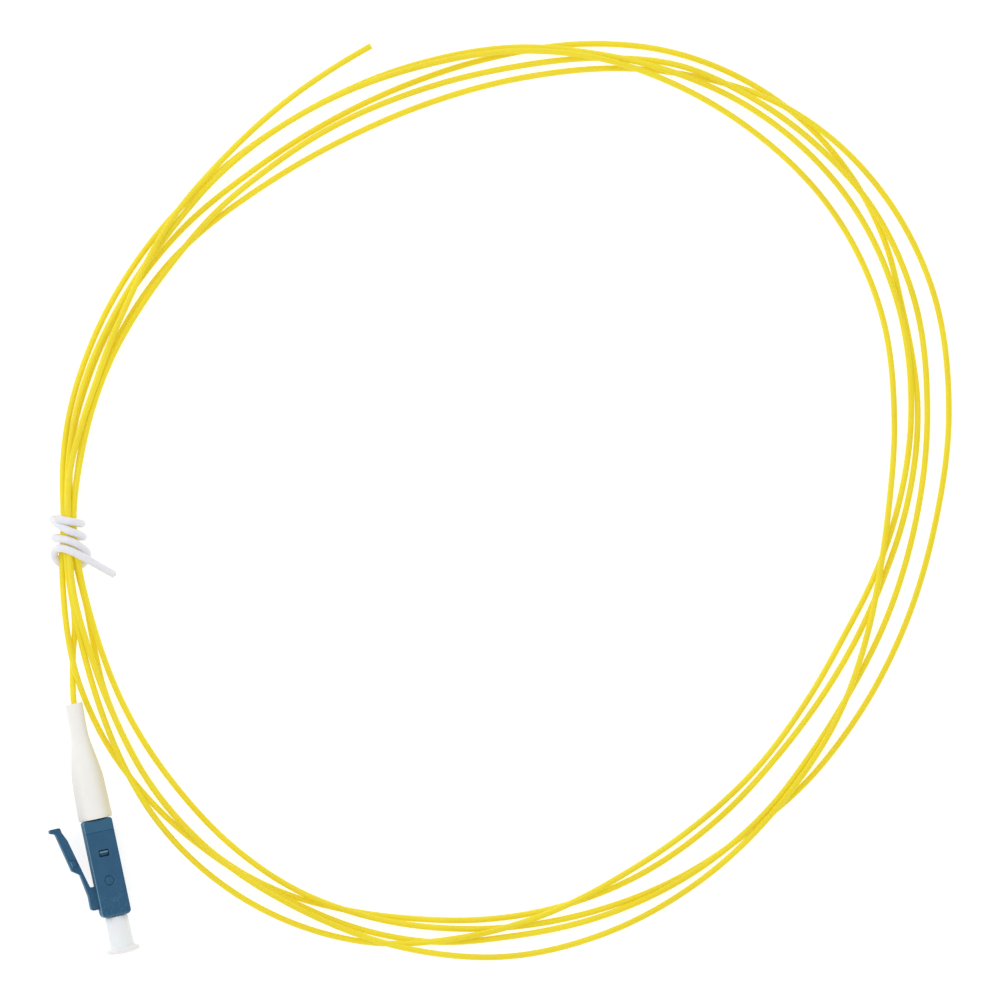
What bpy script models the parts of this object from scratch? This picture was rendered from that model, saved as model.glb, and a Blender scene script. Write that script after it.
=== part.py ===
"""Fibre optic pigtail: a small push-pull connector on one end of a coiled, buffered fibre.

Metres, +Z up. The connector lies on its flank with its nose towards -Y and its latch towards -X.
The connector's own pieces are built in the connector's frame, whose z runs from the rear end of
the collar to the nose, whose y points up and whose x points away from the latch.
"""

import math

import bmesh
import bpy
from mathutils import Matrix, Vector

# Connector: housing and collar
HOUSING_SIDE = 0.00452
HOUSING_EDGE = 0.0002
COLLAR_LENGTH = 0.0018
COLLAR_REAR_ROUND = 0.0004
SEAM_GAP = 0.0001
HOUSING_LENGTH = 0.0131
NOSE_ROUND = 0.0007
CHAMBER_RADIUS = 0.00175
NOSE_SOCKET_RADIUS = 0.0015
NOSE_SOCKET_DEPTH = 0.00085
WEB_THICKNESS = 0.00065
WEB_HOLE_RADIUS = 0.00095
WINDOW_WIDTH = 0.00157
WINDOW_LENGTH = 0.00105
WINDOW_FROM_SEAM = 0.0033
WINDOW_CORNER = 0.00018
MARK_RADIUS = 0.00085
MARK_RIM = 0.0003
MARK_DEPTH = 0.00012
MARK_FROM_NOSE = 0.00555

# Latch lever, moulded with the housing
LATCH_WIDTH = 0.0028
LATCH_EDGE = 0.00012
LATCH_ROOT_FROM_NOSE = 0.0015
LATCH_SLOT_FROM_NOSE = 0.005
LATCH_SINK = 0.0003
EAR_FROM_NOSE = 0.0085
EAR_LENGTH = 0.00112
EAR_WIDTH = 0.00088
EAR_FROM_OUTER_FACE = 0.00022
EAR_HEIGHT = 0.00045
EAR_RAMP = 0.0004
EAR_DRAFT = 0.00012

# Rear body behind the seam
SLEEVE_CLEARANCE = 0.00015
SLEEVE_LENGTH = 0.0054
FIBRE_BORE_RADIUS = 0.0009
POST_RADIUS = 0.00155
POST_LENGTH = 0.005
LUG_CLEARANCE = 0.00013
LUG_BELOW_FLANK = 0.00015

# Ferrule, its flange and its spring
FERRULE_RADIUS = 0.000625
FERRULE_LENGTH = 0.0054
FERRULE_PROTRUSION = 0.0024
FERRULE_CHAMFER = 0.00015
FERRULE_FIT = 0.00006
FLANGE_RADIUS = 0.0014
FLANGE_LENGTH = 0.0025
FLANGE_TAIL_RADIUS = 0.0008
FLANGE_TAIL_LENGTH = 0.0022
FLANGE_TAIL_BORE = 0.0005
SPRING_WIRE = 0.00026
SPRING_RADIUS = 0.0012
SPRING_TURNS = 4.5
STACK_GAP = 0.0001

# Boot
BOOT_LENGTH = 0.01775
BOOT_BASE_RADIUS = 0.00254
BOOT_NECK_RADIUS = 0.00121
BOOT_TIP_RADIUS = 0.00127
BOOT_SHOULDER_AT = 0.0052
BOOT_NECK_AT = 0.0135
BOOT_TIP_BORE = 0.00056
BOOT_LEAN = 0.00035
BOOT_EDGE = 0.0003
BOOT_FIT = 0.0001

# Dust cap
CAP_CLEARANCE = 0.0001
CAP_PILOT_CLEARANCE = 0.00015
CAP_MOUTH_RADIUS = 0.00174
CAP_NECK_RADIUS = 0.00189
CAP_LENGTH = 0.00585
CAP_FLANGE_RADIUS = 0.0026
CAP_FLANGE_THICKNESS = 0.00065
CAP_DOME = 0.00035
CAP_TIP_CLEARANCE = 0.0009
CAP_FACE_RADIUS = 0.001

# Fibre, coil and tie
FIBRE_DIAMETER = 0.00088
CORD_GAP = 0.0003
TIE_DIAMETER = 0.00116
COIL_RADIUS = 0.067
TIED_SIDE_FROM_AXIS = 0.0045
COIL_FROM_COLLAR = 0.035
COIL_LAYERS = 2
COIL_FLAT = 0.00018
TIE_ANGLE = 174.0
FIBRE_POINT_SPACING = 0.0021
TIE_POINT_SPACING = 0.0008
TIE_HUMP_SPAN = 34.0
TIE_HUMP_TOP = 5.0
TIE_SQUARENESS = 0.8

# How the connector lies: rolled with its latch side a little up, its cap's flange on the floor
CONNECTOR_ROLL = math.radians(7.5)

# Places along the connector's z
SEAM_Z = COLLAR_LENGTH + SEAM_GAP
NOSE_Z = SEAM_Z + HOUSING_LENGTH
WEB_FRONT_Z = NOSE_Z - NOSE_SOCKET_DEPTH
WEB_REAR_Z = WEB_FRONT_Z - WEB_THICKNESS
WINDOW_Z = SEAM_Z + WINDOW_FROM_SEAM
SLEEVE_FRONT_Z = COLLAR_LENGTH + SLEEVE_LENGTH
SLEEVE_RADIUS = CHAMBER_RADIUS - SLEEVE_CLEARANCE
FERRULE_TIP_Z = NOSE_Z + FERRULE_PROTRUSION
FERRULE_REAR_Z = FERRULE_TIP_Z - FERRULE_LENGTH
FLANGE_FRONT_Z = WEB_REAR_Z - STACK_GAP
FLANGE_REAR_Z = FLANGE_FRONT_Z - FLANGE_LENGTH
CAP_MOUTH_Z = NOSE_Z + CAP_CLEARANCE
CAP_END_Z = NOSE_Z + CAP_LENGTH
BOOT_BASE_Z = -SEAM_GAP
BOOT_TIP_Z = BOOT_BASE_Z - BOOT_LENGTH
HOUSING_HALF = HOUSING_SIDE / 2

# The lever's side view, from the root near the nose, round its outside and back along its inside:
# distance behind the nose, distance off the housing's side, corner radius
LATCH_OUTLINE = (
    (LATCH_ROOT_FROM_NOSE, -LATCH_SINK, 0.0),
    (LATCH_ROOT_FROM_NOSE, 0.00134, 0.00045),
    (0.0037, 0.0013, 0.002),
    (0.00725, 0.00189, 0.0006),
    (0.008, 0.00299, 0.0003),
    (0.01405, 0.00434, 0.0004),
    (0.0143, 0.00515, 0.0002),
    (0.01485, 0.0051, 0.0002),
    (0.01488, 0.00349, 0.00015),
    (0.0141, 0.00336, 0.0003),
    (0.0128, 0.00276, 0.001),
    (LATCH_SLOT_FROM_NOSE, 0.00082, 0.0003),
    (LATCH_SLOT_FROM_NOSE, -LATCH_SINK, 0.0),
)
LATCH_OUTER_FACE = LATCH_OUTLINE[4:6]
LATCH_REACH = HOUSING_HALF + max(point[1] for point in LATCH_OUTLINE)

# The part's origin is under the middle of the connector
LATCH_SIDE = LATCH_REACH * math.cos(CONNECTOR_ROLL) + LATCH_WIDTH / 2 * math.sin(CONNECTOR_ROLL)
AXIS_X = (LATCH_SIDE - CAP_FLANGE_RADIUS) / 2
AXIS_Y = (CAP_END_Z + BOOT_TIP_Z) / 2
AXIS_Z = max(CAP_FLANGE_RADIUS, BOOT_BASE_RADIUS)
COIL_X = AXIS_X + TIED_SIDE_FROM_AXIS + COIL_RADIUS
COIL_CENTRE = Vector((COIL_X, AXIS_Y + COIL_FROM_COLLAR, 0))

# The band that the loose turns fill, seen from above: angle in degrees, and how far the inner and
# the outer side lie from the coil's radius
COIL_BAND = (
    (0, -0.0072, 0.0023),
    (30, -0.0012, 0.0075),
    (45, 0.0, 0.0071),
    (60, 0.001, 0.0058),
    (75, -0.0028, 0.0026),
    (90, -0.0059, 0.0012),
    (105, -0.0072, 0.0002),
    (120, -0.0064, 0.0004),
    (135, -0.0047, 0.0007),
    (150, -0.0031, 0.0013),
    (163, -0.0018, 0.0015),
    (TIE_ANGLE, -0.00125, 0.00145),
    (183, -0.0013, 0.0029),
    (195, -0.001, 0.0041),
    (210, -0.0004, 0.0056),
    (225, 0.0, 0.0063),
    (240, -0.001, 0.0047),
    (255, -0.0032, 0.0034),
    (270, -0.006, 0.0016),
    (285, -0.0095, -0.0012),
    (300, -0.0113, -0.0035),
    (315, -0.0123, -0.0037),
    (330, -0.0114, -0.0029),
    (345, -0.0093, -0.0011),
)

# The tail's route on the floor, chosen by eye: angle, and distance off the coil's radius
TAIL_ROUTE = (
    (115, 0.0016),
    (108.2, 0.0023),
    (103, 0.0033),
    (98.1, 0.0044),
    (94.8, 0.0052),
)

# Where the lead meets the coil's side, and how far it runs straight out of the boot first
LEAD_ANGLE = 190.2
LEAD_STRAIGHT = 0.0014
LEAD_HEIGHT = 0.0018

# The tie's wire round the bundle: distance along the bundle from the tie's middle, the angle
# turned round the bundle's section from its outer side over its top, and distance off its wrap
TIE_ROUTE = (
    (-0.0044, 45, 0.0015),
    (-0.0042, 75, 0.0014),
    (-0.0039, 105, 0.0008),
    (-0.0035, 135, 0.0002),
    (-0.0031, 180, 0.0001),
    (-0.0032, 225, 0.0),
    (-0.0034, 270, 0.0),
    (-0.0037, 315, 0.0),
    (-0.0039, 360, 0.0001),
    (-0.0034, 405, 0.0001),
    (-0.0024, 450, 0.0),
    (-0.0016, 495, 0.0001),
    (-0.0011, 540, 0.0002),
    (-0.001, 585, 0.0),
    (-0.0011, 630, 0.0),
    (-0.0012, 675, 0.0),
    (-0.0012, 720, 0.0002),
    (-0.001, 765, 0.0001),
    (-0.0003, 810, 0.0),
    (0.0009, 855, 0.0001),
    (0.0019, 900, 0.0004),
    (0.003, 945, 0.0),
    (0.0034, 990, 0.0),
    (0.0029, 1035, 0.0),
    (0.0014, 1080, 0.0005),
    (0.0007, 1110, 0.0001),
    (0.0013, 1155, 0.0),
    (0.002, 1190, 0.0001),
    (0.0029, 1220, 0.0008),
    (0.0043, 1236, 0.0024),
    (0.0059, 1241, 0.0038),
)


def empty_scene():
    for old in list(bpy.data.objects):
        bpy.data.objects.remove(old)


def make_material(name, colour, roughness, metallic=0.0):
    material = bpy.data.materials.new(name)
    material.use_nodes = True
    shader = material.node_tree.nodes["Principled BSDF"]
    shader.inputs["Base Color"].default_value = (*colour, 1)
    shader.inputs["Roughness"].default_value = roughness
    shader.inputs["Metallic"].default_value = metallic
    return material


def mesh_object(name, shape, material=None, parent=None, smooth_angle=30):
    """A mesh object from a bmesh, with its faces pointing out and its round stretches smooth."""
    bmesh.ops.recalc_face_normals(shape, faces=shape.faces)
    mesh = bpy.data.meshes.new(name)
    shape.to_mesh(mesh)
    shape.free()
    if smooth_angle:
        mesh.shade_smooth()
        mesh.set_sharp_from_angle(angle=math.radians(smooth_angle))
    if material:
        mesh.materials.append(material)
    made = bpy.data.objects.new(name, mesh)
    made.parent = parent
    bpy.context.scene.collection.objects.link(made)
    return made


def helper_shape(name, shape, parent):
    """A shape that only cuts or joins another one."""
    made = mesh_object(name, shape, parent=parent, smooth_angle=0)
    made.hide_render = True
    made.display_type = "WIRE"
    return made


def combine(target, tool, operation):
    modifier = target.modifiers.new(f"{operation.lower()} {tool.name}", "BOOLEAN")
    modifier.operation = operation
    modifier.object = tool


def loft(rings, closed_loop=False):
    """Quads between rings of equally many points, ends filled unless the rings close on themselves."""
    shape = bmesh.new()
    rows = [[shape.verts.new(point) for point in ring] for ring in rings]
    count = len(rows[0])
    pairs = list(zip(rows, rows[1:]))
    if closed_loop:
        pairs.append((rows[-1], rows[0]))
    for first, second in pairs:
        for k in range(count):
            after = (k + 1) % count
            shape.faces.new((first[k], first[after], second[after], second[k]))
    if not closed_loop:
        shape.faces.new(rows[0])
        shape.faces.new(rows[-1])
    return shape


def circle(radius, z, sides, x=0.0):
    angles = [2 * math.pi * k / sides for k in range(sides)]
    return [(x + radius * math.cos(a), radius * math.sin(a), z) for a in angles]


def turned(profile, sides=32):
    """A solid turned about z from (radius, z) points that run once round its section."""
    rings = [circle(radius, z, sides) for radius, z in profile]
    return loft(rings, closed_loop=True)


def solid_round(profile, sides=32):
    """A turned solid with flat ends, from (radius, z) points along its side."""
    return loft([circle(radius, z, sides) for radius, z in profile])


def rounded_square(half, corner, z, steps=3):
    ring = []
    for quarter in range(4):
        middle = math.radians(45 + 90 * quarter)
        centre_x = math.copysign(half - corner, math.cos(middle))
        centre_y = math.copysign(half - corner, math.sin(middle))
        for k in range(steps + 1):
            angle = math.radians(90 * quarter + 90 * k / steps)
            ring.append((centre_x + corner * math.cos(angle), centre_y + corner * math.sin(angle), z))
    return ring


def box(low, high):
    shape = bmesh.new()
    middle = [(a + b) / 2 for a, b in zip(low, high)]
    size = [b - a for a, b in zip(low, high)]
    place = Matrix.Translation(middle) @ Matrix.Diagonal((*size, 1))
    bmesh.ops.create_cube(shape, size=1, matrix=place)
    return shape


def rounded_outline(points, steps=4):
    """A closed outline of (x, y, corner radius) points with each corner turned into an arc."""
    outline = []
    for k, (x, y, radius) in enumerate(points):
        here = Vector((x, y))
        before = Vector(points[k - 1][:2])
        after = Vector(points[(k + 1) % len(points)][:2])
        if radius == 0:
            outline.append(here)
            continue
        back = (before - here).normalized()
        ahead = (after - here).normalized()
        half_angle = back.angle(ahead) / 2
        length = min(
            radius / math.tan(half_angle),
            0.45 * (before - here).length,
            0.45 * (after - here).length,
        )
        start = here + back * length
        end = here + ahead * length
        for step in range(steps + 1):
            t = step / steps
            outline.append(start * (1 - t) ** 2 + here * 2 * t * (1 - t) + end * t**2)
    return outline


def extruded(outline, low, high):
    """A prism across y from an outline of (x, z) points."""
    return loft([[(x, y, z) for x, z in outline] for y in (low, high)])


def bevelled(shape, width, segments=2):
    edges = [edge for edge in shape.edges if edge.calc_face_angle(0) > math.radians(50)]
    bmesh.ops.bevel(shape, geom=edges, offset=width, segments=segments, affect="EDGES")
    return shape


def spline_value(before, start, end, after, t):
    """Catmull-Rom between start and end, for numbers and for vectors."""
    slope_a = (end - before) / 2
    slope_b = (after - start) / 2
    return (
        start * (2 * t**3 - 3 * t**2 + 1)
        + slope_a * (t**3 - 2 * t**2 + t)
        + end * (3 * t**2 - 2 * t**3)
        + slope_b * (t**3 - t**2)
    )


def smooth_route(route, spacing):
    """Points at even spacing on a smooth curve through the route's points."""
    points = [Vector(point) for point in route]
    points = [2 * points[0] - points[1], *points, 2 * points[-1] - points[-2]]
    fine = []
    for k in range(1, len(points) - 2):
        for step in range(20):
            fine.append(spline_value(*points[k - 1 : k + 3], step / 20))
    fine.append(points[-2])
    lengths = [0.0]
    for a, b in zip(fine, fine[1:]):
        lengths.append(lengths[-1] + (b - a).length)
    count = max(2, round(lengths[-1] / spacing))
    evenly = []
    k = 0
    for step in range(count + 1):
        wanted = lengths[-1] * step / count
        while k < len(fine) - 2 and lengths[k + 1] < wanted:
            k += 1
        share = (wanted - lengths[k]) / (lengths[k + 1] - lengths[k])
        evenly.append(fine[k].lerp(fine[k + 1], share))
    return evenly


def tube_object(name, points, diameter, material):
    curve = bpy.data.curves.new(name, "CURVE")
    curve.dimensions = "3D"
    curve.bevel_depth = diameter / 2
    curve.bevel_resolution = 2
    curve.use_fill_caps = True
    spline = curve.splines.new("POLY")
    spline.points.add(len(points) - 1)
    for target, point in zip(spline.points, points):
        target.co = (*point, 1)
    curve.materials.append(material)
    made = bpy.data.objects.new(name, curve)
    bpy.context.scene.collection.objects.link(made)
    return made


def quarter_round(depth, steps=4):
    """(inward, forward) pairs of a quarter round, from its side to its end."""
    angles = [math.pi / 2 * k / steps for k in range(steps + 1)]
    return [(depth * (1 - math.cos(a)), depth * math.sin(a)) for a in angles]


def front_housing(frame, material):
    """Square shell with a rounded nose, a stepped bore, lug windows and the latch lever."""
    corner = HOUSING_EDGE
    rings = [rounded_square(HOUSING_HALF, corner, SEAM_Z)]
    for inward, forward in quarter_round(NOSE_ROUND):
        z = NOSE_Z - NOSE_ROUND + forward
        rings.append(rounded_square(HOUSING_HALF - inward, corner, z))
    housing = mesh_object("front_housing", loft(rings), material, frame, smooth_angle=0)

    lever = latch_lever()
    combine(housing, helper_shape("latch_lever_shape", lever, frame), "UNION")
    for side in (-1, 1):
        combine(housing, helper_shape(f"latch_ear_shape_{side}", latch_ear(side), frame), "UNION")
    past = HOUSING_SIDE
    bore = solid_round(
        (
            (CHAMBER_RADIUS, SEAM_Z - past),
            (CHAMBER_RADIUS, WEB_REAR_Z),
            (WEB_HOLE_RADIUS, WEB_REAR_Z),
            (WEB_HOLE_RADIUS, WEB_FRONT_Z),
            (NOSE_SOCKET_RADIUS, WEB_FRONT_Z),
            (NOSE_SOCKET_RADIUS, NOSE_Z + past),
        )
    )
    combine(housing, helper_shape("bore_cutter", bore, frame), "DIFFERENCE")
    window = box(
        (-WINDOW_WIDTH / 2, -past, WINDOW_Z - WINDOW_LENGTH / 2),
        (WINDOW_WIDTH / 2, past, WINDOW_Z + WINDOW_LENGTH / 2),
    )
    upright = [edge for edge in window.edges if abs((edge.verts[0].co - edge.verts[1].co).y) > past]
    bmesh.ops.bevel(window, geom=upright, offset=WINDOW_CORNER, segments=2, affect="EDGES")
    combine(housing, helper_shape("window_cutter", window, frame), "DIFFERENCE")
    combine(housing, helper_shape("mark_cutter", mark_groove(), frame), "DIFFERENCE")
    return housing


def latch_lever():
    """The lever, its root sunk into the housing's side."""
    points = [(-HOUSING_HALF - off, NOSE_Z - behind, radius) for behind, off, radius in LATCH_OUTLINE]
    lever = extruded(rounded_outline(points), -LATCH_WIDTH / 2, LATCH_WIDTH / 2)
    return bevelled(lever, LATCH_EDGE)


def latch_ear(side):
    """Locking ear on one flank of the lever: steep at its rear, with a ramp towards the nose."""
    (start, start_off), (end, end_off) = [point[:2] for point in LATCH_OUTER_FACE]
    slope = (end_off - start_off) / (end - start)

    def section(y, draft, ramp):
        front = EAR_FROM_NOSE + ramp
        rear = EAR_FROM_NOSE + EAR_LENGTH - draft
        near, far = draft, EAR_WIDTH - draft
        corners = []
        for behind, across in ((front, near), (front, far), (rear, far), (rear, near)):
            off = start_off + slope * (behind - start) - EAR_FROM_OUTER_FACE - across
            corners.append((-HOUSING_HALF - off, side * y, NOSE_Z - behind))
        return corners

    flank = LATCH_WIDTH / 2
    root = section(flank - LATCH_SINK / 2, 0, 0)
    foot = section(flank, 0, 0)
    top = section(flank + EAR_HEIGHT, EAR_DRAFT, EAR_RAMP)
    return loft([root, foot, top])


def mark_groove():
    """A plain ring sunk into the upper flank."""
    z = NOSE_Z - MARK_FROM_NOSE
    top = HOUSING_HALF + MARK_DEPTH
    floor = HOUSING_HALF - MARK_DEPTH
    inner = MARK_RADIUS - MARK_RIM
    ring = turned(((inner, top), (MARK_RADIUS, top), (MARK_RADIUS, floor), (inner, floor)), 24)
    turn = Matrix.Rotation(math.radians(-90), 4, "X")
    bmesh.ops.transform(ring, matrix=Matrix.Translation((0, 0, z)) @ turn, verts=ring.verts)
    return ring


def rear_body(frame, material):
    """Collar behind the seam, sleeve with two snap lugs inside the housing, and post for the boot."""
    corner = HOUSING_EDGE
    rings = []
    for inward, forward in reversed(quarter_round(COLLAR_REAR_ROUND)):
        z = COLLAR_REAR_ROUND - forward
        rings.append(rounded_square(HOUSING_HALF - inward, corner, z))
    rings.append(rounded_square(HOUSING_HALF, corner, COLLAR_LENGTH))
    body = mesh_object("rear_body", loft(rings), material, frame, smooth_angle=0)
    core = solid_round(
        (
            (POST_RADIUS - HOUSING_EDGE, -POST_LENGTH),
            (POST_RADIUS, -POST_LENGTH + HOUSING_EDGE),
            (POST_RADIUS, COLLAR_LENGTH / 2),
            (SLEEVE_RADIUS, COLLAR_LENGTH / 2),
            (SLEEVE_RADIUS, SLEEVE_FRONT_Z - HOUSING_EDGE),
            (SLEEVE_RADIUS - HOUSING_EDGE, SLEEVE_FRONT_Z),
        )
    )
    combine(body, helper_shape("core_shape", core, frame), "UNION")
    for side in (-1, 1):
        combine(body, helper_shape(f"lug_shape_{side}", snap_lug(side), frame), "UNION")
    past = COLLAR_LENGTH
    bore = solid_round(
        (
            (FIBRE_BORE_RADIUS, -POST_LENGTH - past),
            (FIBRE_BORE_RADIUS, SLEEVE_FRONT_Z + past),
        ),
        24,
    )
    combine(body, helper_shape("fibre_bore_cutter", bore, frame), "DIFFERENCE")
    return body


def snap_lug(side):
    """A lug with a steep rear face and a ramp towards the nose, just under the flank."""
    rear = WINDOW_Z - WINDOW_LENGTH / 2 + LUG_CLEARANCE
    front = WINDOW_Z + WINDOW_LENGTH / 2 - LUG_CLEARANCE
    middle = (2 * rear + front) / 3
    root = (SLEEVE_RADIUS + FIBRE_BORE_RADIUS) / 2
    top = HOUSING_HALF - LUG_BELOW_FLANK
    low = (CHAMBER_RADIUS + top) / 2
    half = WINDOW_WIDTH / 2 - LUG_CLEARANCE
    outline = ((root, rear), (top, rear), (top, middle), (low, front), (root, front))
    return loft([[(x, side * y, z) for y, z in outline] for x in (-half, half)])


def boot_radius(from_base):
    """The boot's outer radius: full at the base, a smooth waist, and a slight flare at the tip."""
    if from_base <= BOOT_SHOULDER_AT:
        return BOOT_BASE_RADIUS
    if from_base <= BOOT_NECK_AT:
        share = (from_base - BOOT_SHOULDER_AT) / (BOOT_NECK_AT - BOOT_SHOULDER_AT)
        ease = share * share * (3 - 2 * share)
        return BOOT_BASE_RADIUS + (BOOT_NECK_RADIUS - BOOT_BASE_RADIUS) * ease
    share = (from_base - BOOT_NECK_AT) / (BOOT_LENGTH - BOOT_NECK_AT)
    return BOOT_NECK_RADIUS + (BOOT_TIP_RADIUS - BOOT_NECK_RADIUS) * share


def boot(frame, material):
    """Flexible sleeve over the rear body's post, with the fibre's hole through its tip."""
    sides = 32

    def section(radius, from_base):
        lean = BOOT_LEAN * (from_base / BOOT_LENGTH) ** 2
        return circle(radius, BOOT_BASE_Z - from_base, sides, lean)

    stations = 26
    rings = []
    for k in range(stations + 1):
        from_base = BOOT_LENGTH * k / stations
        end = min(from_base, BOOT_LENGTH - from_base)
        pull = BOOT_EDGE / 3 if end < BOOT_EDGE / 2 else 0
        rings.append(section(boot_radius(from_base) - pull, from_base))
    post_hole = POST_RADIUS + BOOT_FIT
    post_end = POST_LENGTH + BOOT_FIT
    for k in range(6):
        from_base = BOOT_LENGTH + (post_end + post_hole - BOOT_LENGTH) * k / 5
        rings.append(section(BOOT_TIP_BORE, from_base))
    rings.append(section(post_hole, post_end))
    rings.append(section(post_hole, 0))
    return mesh_object("boot", loft(rings, closed_loop=True), material, frame)


def ferrule(frame, material):
    tip = FERRULE_RADIUS - FERRULE_CHAMFER
    side = (
        (FERRULE_RADIUS, FERRULE_REAR_Z),
        (FERRULE_RADIUS, FERRULE_TIP_Z - 2 * FERRULE_CHAMFER),
        (tip, FERRULE_TIP_Z),
    )
    return mesh_object("ferrule", solid_round(side, 24), material, frame)


def ferrule_flange(frame, material):
    """Metal cup that holds the ferrule's rear end and carries the spring on its tail."""
    cup = FERRULE_RADIUS + FERRULE_FIT
    cup_floor = FERRULE_REAR_Z - FERRULE_FIT
    tail_end = FLANGE_REAR_Z - FLANGE_TAIL_LENGTH
    shape = turned(
        (
            (FLANGE_TAIL_BORE, tail_end),
            (FLANGE_TAIL_RADIUS, tail_end),
            (FLANGE_TAIL_RADIUS, FLANGE_REAR_Z),
            (FLANGE_RADIUS, FLANGE_REAR_Z),
            (FLANGE_RADIUS, FLANGE_FRONT_Z),
            (cup, FLANGE_FRONT_Z),
            (cup, cup_floor),
            (FLANGE_TAIL_BORE, cup_floor),
        ),
        24,
    )
    return mesh_object("ferrule_flange", shape, material, frame)


def spring(frame, material):
    """Round wire wound between the rear body's sleeve and the flange."""
    start = SLEEVE_FRONT_Z + STACK_GAP + SPRING_WIRE / 2
    end = FLANGE_REAR_Z - STACK_GAP - SPRING_WIRE / 2
    steps = round(SPRING_TURNS * 18)
    wire_sides = 8
    rings = []
    for k in range(steps + 1):
        angle = 2 * math.pi * SPRING_TURNS * k / steps
        out = Vector((math.cos(angle), math.sin(angle), 0))
        centre = out * SPRING_RADIUS + Vector((0, 0, start + (end - start) * k / steps))
        ring = []
        for j in range(wire_sides):
            turn = 2 * math.pi * j / wire_sides
            across = out * math.cos(turn) + Vector((0, 0, math.sin(turn)))
            ring.append(centre + across * SPRING_WIRE / 2)
        rings.append(ring)
    return mesh_object("spring", loft(rings), material, frame)


def dust_cap(frame, material):
    """Pull-off cap: a pilot in the nose's socket, a slightly flared tube and a round grip flange."""
    bore = FERRULE_RADIUS + CAP_CLEARANCE
    bore_end = FERRULE_TIP_Z + CAP_TIP_CLEARANCE
    pilot = NOSE_SOCKET_RADIUS - CAP_PILOT_CLEARANCE
    pilot_end = WEB_FRONT_Z + CAP_PILOT_CLEARANCE
    flange_top = CAP_END_Z - CAP_DOME
    flange_rear = flange_top - CAP_FLANGE_THICKNESS + CAP_DOME / 2
    profile = (
        (bore, pilot_end),
        (pilot, pilot_end),
        (pilot, CAP_MOUTH_Z),
        (CAP_MOUTH_RADIUS, CAP_MOUTH_Z),
        (CAP_NECK_RADIUS, flange_rear),
        (CAP_FLANGE_RADIUS, flange_rear),
        (CAP_FLANGE_RADIUS, flange_top),
        (CAP_FLANGE_RADIUS - CAP_DOME, CAP_END_Z - CAP_DOME / 3),
        (CAP_FACE_RADIUS, CAP_END_Z),
    )
    rings = [circle(radius, z, 32) for radius, z in profile]
    floor = circle(bore, bore_end, 32)
    shape = loft([floor, *rings])
    return mesh_object("dust_cap", shape, material, frame)


def band_at(angle):
    """Inner and outer radius of the coil's band at an angle, smooth all the way round."""
    angles = [row[0] for row in COIL_BAND]
    k = max(i for i, start in enumerate(angles) if start <= angle)
    end = angles[(k + 1) % len(angles)] or 360
    share = (angle - angles[k]) / (end - angles[k])
    near = [COIL_BAND[(k + i) % len(COIL_BAND)] for i in (-1, 0, 1, 2)]
    sides = [spline_value(*[row[column] for row in near], share) for column in (1, 2)]
    return [COIL_RADIUS + side for side in sides]


def coil_lift(angle):
    """How far the bundle is raised where the tie passes under it."""
    away = max(0.0, abs(angle - TIE_ANGLE) - TIE_HUMP_TOP) / (TIE_HUMP_SPAN - TIE_HUMP_TOP)
    return (TIE_DIAMETER + CORD_GAP) * (0.5 + 0.5 * math.cos(math.pi * min(1.0, away)))


def fibre_coil(material):
    """One closed ring of the outer shape of all the turns."""
    sections = 120
    half_height = COIL_LAYERS * FIBRE_DIAMETER / 2
    corner = half_height - COIL_FLAT
    rings = []
    for k in range(sections):
        angle = 360 * k / sections
        inner, outer = band_at(angle)
        middle = (inner + outer) / 2
        height = half_height + coil_lift(angle)
        ring = []
        for quarter in range(4):
            diagonal = math.radians(45 + 90 * quarter)
            side = math.copysign((outer - inner) / 2 - corner, math.cos(diagonal))
            rise = math.copysign(COIL_FLAT, math.sin(diagonal))
            for step in range(3):
                turn = math.radians(90 * quarter + 45 * step)
                across = middle + side + corner * math.cos(turn)
                ring.append(coil_point(angle, across, height + rise + corner * math.sin(turn)))
        rings.append(ring)
    return mesh_object("fibre_coil", loft(rings, closed_loop=True), material, smooth_angle=60)


def coil_point(angle, radius, height):
    """A point at an angle in degrees and a distance from the coil's centre."""
    turn = math.radians(angle)
    return COIL_CENTRE + Vector((radius * math.cos(turn), radius * math.sin(turn), height))


def lead_route():
    """From just outside the boot's tip to the coil's side."""
    drop = BOOT_LEAN * math.sin(CONNECTOR_ROLL)
    tip_y = AXIS_Y - BOOT_TIP_Z + CORD_GAP
    start = Vector((AXIS_X + BOOT_LEAN * math.cos(CONNECTOR_ROLL), tip_y, AXIS_Z - drop))
    outer = band_at(LEAD_ANGLE)[1]
    end = coil_point(LEAD_ANGLE, outer + CORD_GAP + FIBRE_DIAMETER / 2, LEAD_HEIGHT)
    return [start, start + Vector((0, LEAD_STRAIGHT, 0)), end]


def tail_route():
    return [coil_point(angle, COIL_RADIUS + off, FIBRE_DIAMETER / 2) for angle, off in TAIL_ROUTE]


def tie_route():
    """The tie's points round the bundle, whose size and lift are read where each point lies."""
    points = []
    for along, around, off in TIE_ROUTE:
        middle = sum(band_at(TIE_ANGLE)) / 2
        angle = TIE_ANGLE + math.degrees(along / middle)
        inner, outer = band_at(angle)
        clear = CORD_GAP + TIE_DIAMETER / 2
        half_width = (outer - inner) / 2 + clear + off
        half_height = COIL_LAYERS * FIBRE_DIAMETER / 2 + clear + off
        turn = math.radians(around)
        across = math.copysign(abs(math.cos(turn)) ** TIE_SQUARENESS, math.cos(turn))
        rise = math.copysign(abs(math.sin(turn)) ** TIE_SQUARENESS, math.sin(turn))
        height = COIL_LAYERS * FIBRE_DIAMETER / 2 + coil_lift(angle) + half_height * rise
        points.append(coil_point(angle, (inner + outer) / 2 + half_width * across, height))
    return points


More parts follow.
